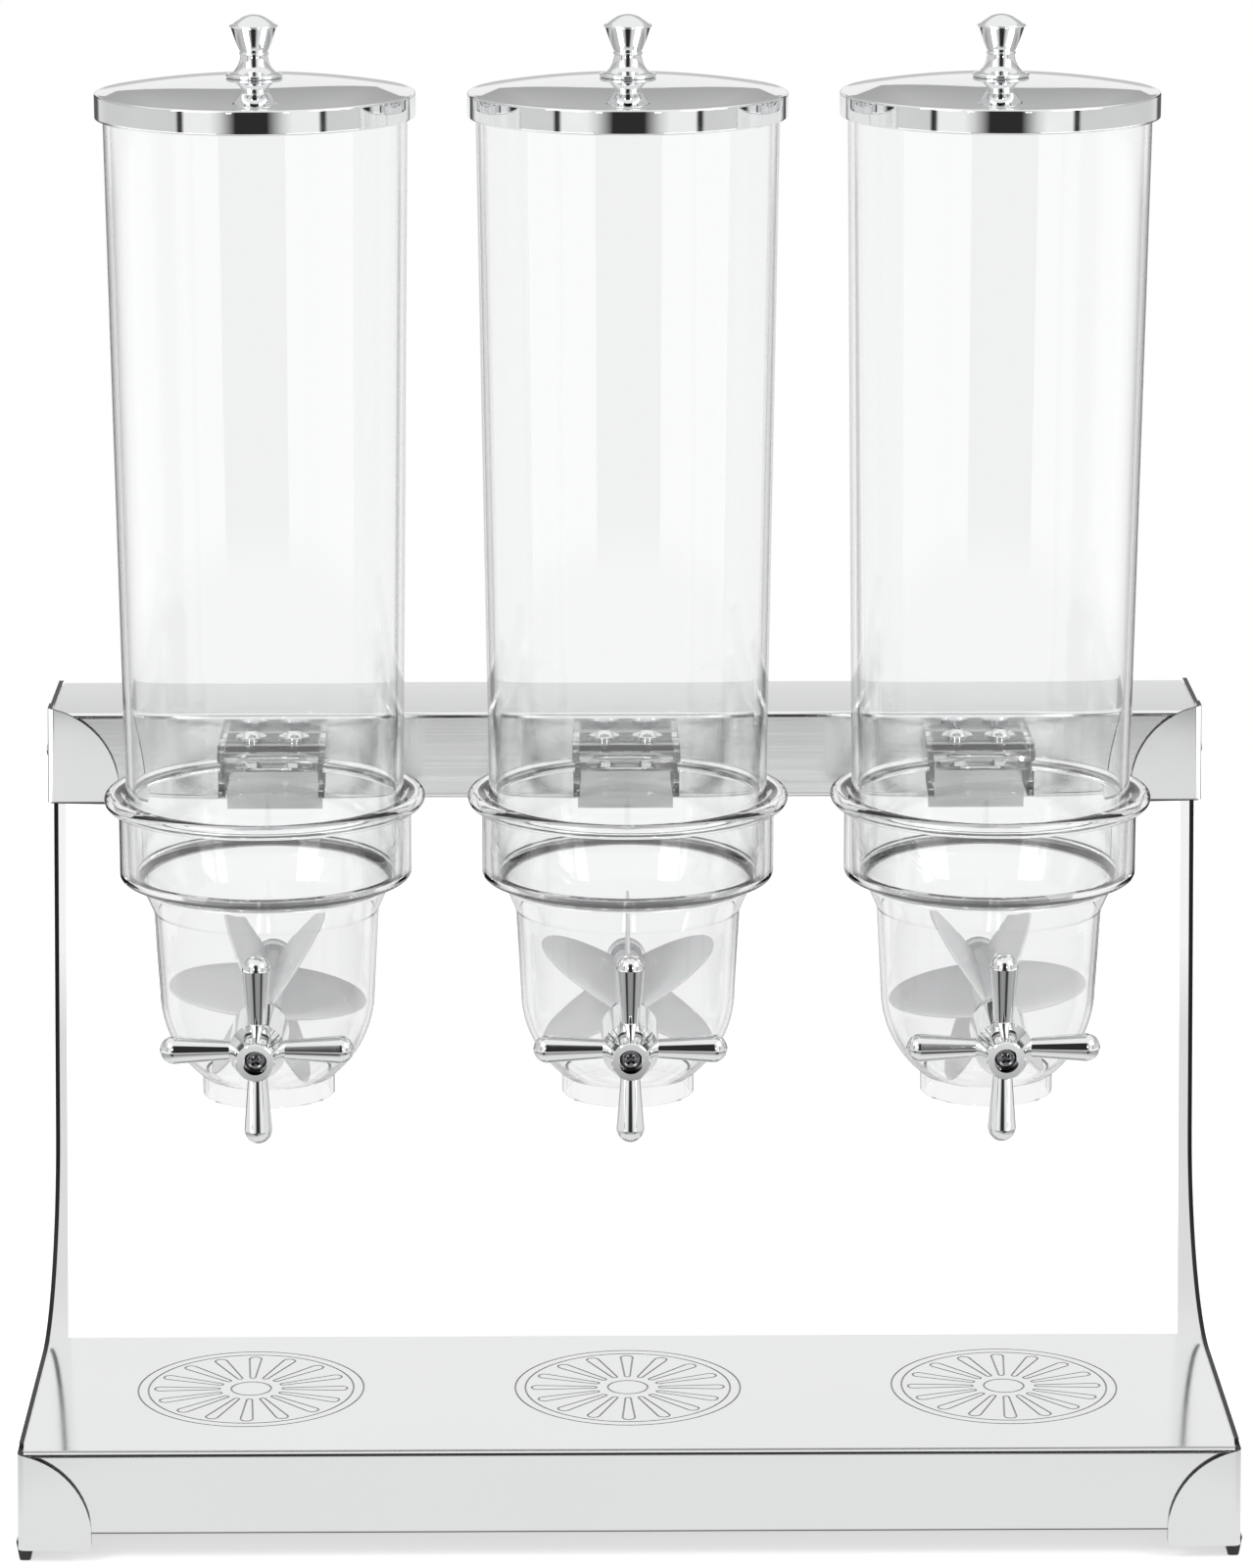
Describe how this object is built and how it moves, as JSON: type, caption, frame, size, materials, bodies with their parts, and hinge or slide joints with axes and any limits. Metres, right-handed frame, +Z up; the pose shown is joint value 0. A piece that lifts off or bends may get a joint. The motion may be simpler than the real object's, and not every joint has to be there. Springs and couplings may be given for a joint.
{
  "type": "cereal dispenser",
  "caption": "Cereal dispenser: clear tapered containers side by side, with lids and cross-handled paddle wheels, on a mirror-polished steel stand with a drip tray.",
  "frame": {"origin": "on the table, below the middle of the dispenser", "axes": "+Z up, -Y towards the person serving (handles and spouts), +X to the right of somebody facing that side"},
  "size_m": [0.5338, 0.282, 0.6612],
  "materials": {
    "mirror_steel": "mirror",
    "bracket_steel": "satin",
    "fastener_chrome": "polished",
    "black_rubber": "matte",
    "clear_plastic": "polished",
    "seal_rubber": "matte",
    "lid_chrome": "mirror",
    "white_silicone": "satin",
    "bush_plastic": "satin",
    "shaft_steel": "satin",
    "handle_chrome": "polished",
    "dark_screw": "satin"
  },
  "bodies": {
    "stand": {"base_tray": "mirror_steel", "bowl_left": "clear_plastic", "bowl_middle": "clear_plastic", "bowl_right": "clear_plastic", "bracket_left": "bracket_steel", "bracket_middle": "bracket_steel", "bracket_right": "bracket_steel", "bush_front_left": "bush_plastic", "bush_front_middle": "bush_plastic", "bush_front_right": "bush_plastic", "bush_rear_left": "bush_plastic", "bush_rear_middle": "bush_plastic", "bush_rear_right": "bush_plastic", "lug_nuts": "fastener_chrome", "lug_screws": "fastener_chrome", "lug_washers": "fastener_chrome", "rubber_feet": "black_rubber", "side_nuts_left": "fastener_chrome", "side_nuts_right": "fastener_chrome", "side_panel_left": "mirror_steel", "side_panel_right": "mirror_steel", "side_screws_left": "fastener_chrome", "side_screws_right": "fastener_chrome", "top_rail": "mirror_steel"},
    "rotor_left": {"cross_handle_left": "handle_chrome", "drive_shaft_left": "shaft_steel", "handle_screw_left": "dark_screw", "handle_sleeve_left": "handle_chrome", "paddle_wheel_left": "white_silicone", "shaft_clip_left": "shaft_steel"},
    "tube_left": {"tube_left": "clear_plastic"},
    "lid_left": {"knob_screw_left": "shaft_steel", "lid_knob_left": "lid_chrome", "lid_left": "lid_chrome", "lid_seal_left": "seal_rubber"},
    "rotor_middle": {"cross_handle_middle": "handle_chrome", "drive_shaft_middle": "shaft_steel", "handle_screw_middle": "dark_screw", "handle_sleeve_middle": "handle_chrome", "paddle_wheel_middle": "white_silicone", "shaft_clip_middle": "shaft_steel"},
    "tube_middle": {"tube_middle": "clear_plastic"},
    "lid_middle": {"knob_screw_middle": "shaft_steel", "lid_knob_middle": "lid_chrome", "lid_middle": "lid_chrome", "lid_seal_middle": "seal_rubber"},
    "rotor_right": {"cross_handle_right": "handle_chrome", "drive_shaft_right": "shaft_steel", "handle_screw_right": "dark_screw", "handle_sleeve_right": "handle_chrome", "paddle_wheel_right": "white_silicone", "shaft_clip_right": "shaft_steel"},
    "tube_right": {"tube_right": "clear_plastic"},
    "lid_right": {"knob_screw_right": "shaft_steel", "lid_knob_right": "lid_chrome", "lid_right": "lid_chrome", "lid_seal_right": "seal_rubber"}
  },
  "joints": [
    {"name": "turn_left", "type": "hinge", "parent": "stand", "child": "rotor_left", "pos_m": [-0.158, -0.026, 0.234], "axis": [0, -1, 0], "continuous": true},
    {"name": "lift_tube_left", "type": "slide", "parent": "stand", "child": "tube_left", "axis": [0, 0, 1], "range_m": [0, 0.06]},
    {"name": "lift_lid_left", "type": "slide", "parent": "tube_left", "child": "lid_left", "axis": [0, 0, 1], "range_m": [0, 0.04]},
    {"name": "turn_middle", "type": "hinge", "parent": "stand", "child": "rotor_middle", "pos_m": [0, -0.026, 0.234], "axis": [0, -1, 0], "continuous": true},
    {"name": "lift_tube_middle", "type": "slide", "parent": "stand", "child": "tube_middle", "axis": [0, 0, 1], "range_m": [0, 0.06]},
    {"name": "lift_lid_middle", "type": "slide", "parent": "tube_middle", "child": "lid_middle", "axis": [0, 0, 1], "range_m": [0, 0.04]},
    {"name": "turn_right", "type": "hinge", "parent": "stand", "child": "rotor_right", "pos_m": [0.158, -0.026, 0.234], "axis": [0, -1, 0], "continuous": true},
    {"name": "lift_tube_right", "type": "slide", "parent": "stand", "child": "tube_right", "axis": [0, 0, 1], "range_m": [0, 0.06]},
    {"name": "lift_lid_right", "type": "slide", "parent": "tube_right", "child": "lid_right", "axis": [0, 0, 1], "range_m": [0, 0.04]}
  ]
}
